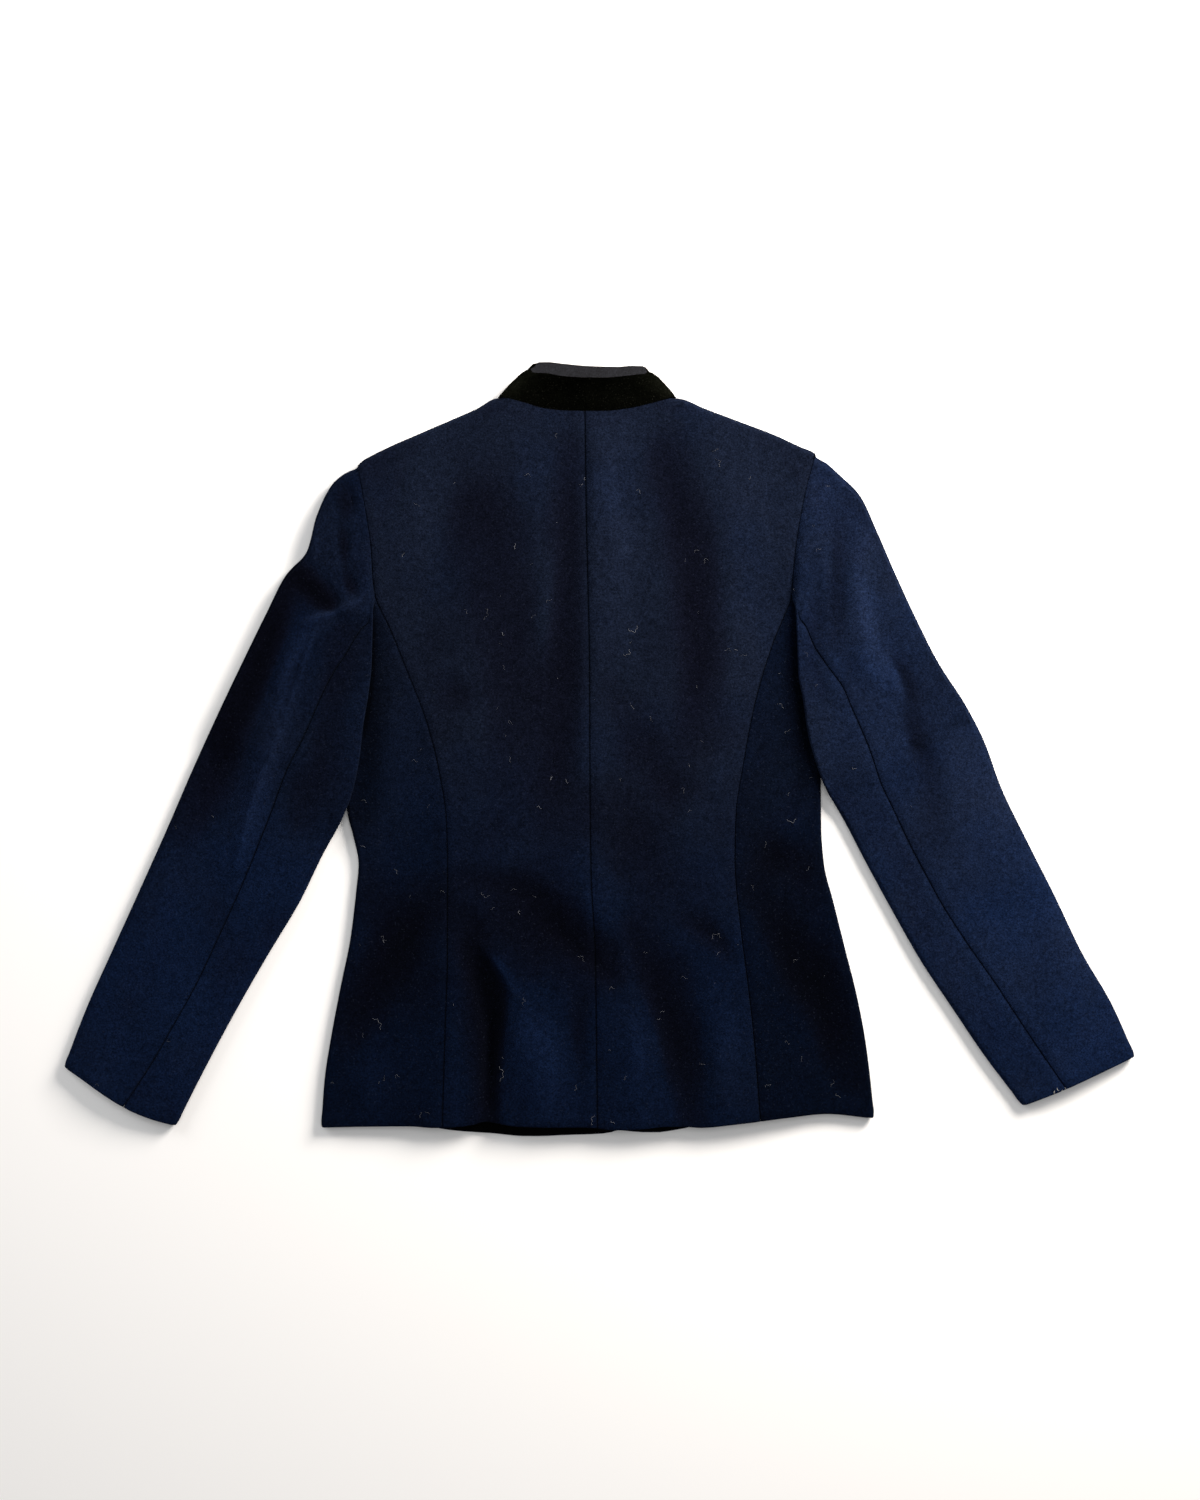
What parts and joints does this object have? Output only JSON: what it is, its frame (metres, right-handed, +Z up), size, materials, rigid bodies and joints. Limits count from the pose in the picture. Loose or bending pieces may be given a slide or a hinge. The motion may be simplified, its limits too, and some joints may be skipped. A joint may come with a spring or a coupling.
{
  "type": "military jacket",
  "caption": "Fitted wool jacket with a velvet stand collar, two-piece sleeves and princess seams, laid flat face down.",
  "frame": {"origin": "centre of the jacket's box, on the surface that it lies on", "axes": "+X across the jacket from the left sleeve to the right one as seen from above, +Y toward the collar, +Z up, away from the fronts"},
  "size_m": [0.9456, 0.6818, 0.0279],
  "materials": {
    "navy_wool": "fine navy wool barathea, matt, with a slight nap",
    "black_velvet": "black cotton velvet, short pile",
    "collar_lining": "smooth charcoal lining cloth",
    "dark_lining": "near-black lining cloth"
  },
  "bodies": {
    "root": {"back_left": "navy_wool", "back_right": "navy_wool", "side_left": "navy_wool", "side_right": "navy_wool", "front_left": "navy_wool", "front_right": "navy_wool", "sleeve_left_upper": "navy_wool", "sleeve_left_under": "navy_wool", "sleeve_right_upper": "navy_wool", "sleeve_right_under": "navy_wool", "collar_stand": "black_velvet", "collar_facing": "collar_lining", "hem_facing_left": "dark_lining", "hem_facing_right": "dark_lining"}
  },
  "joints": []
}
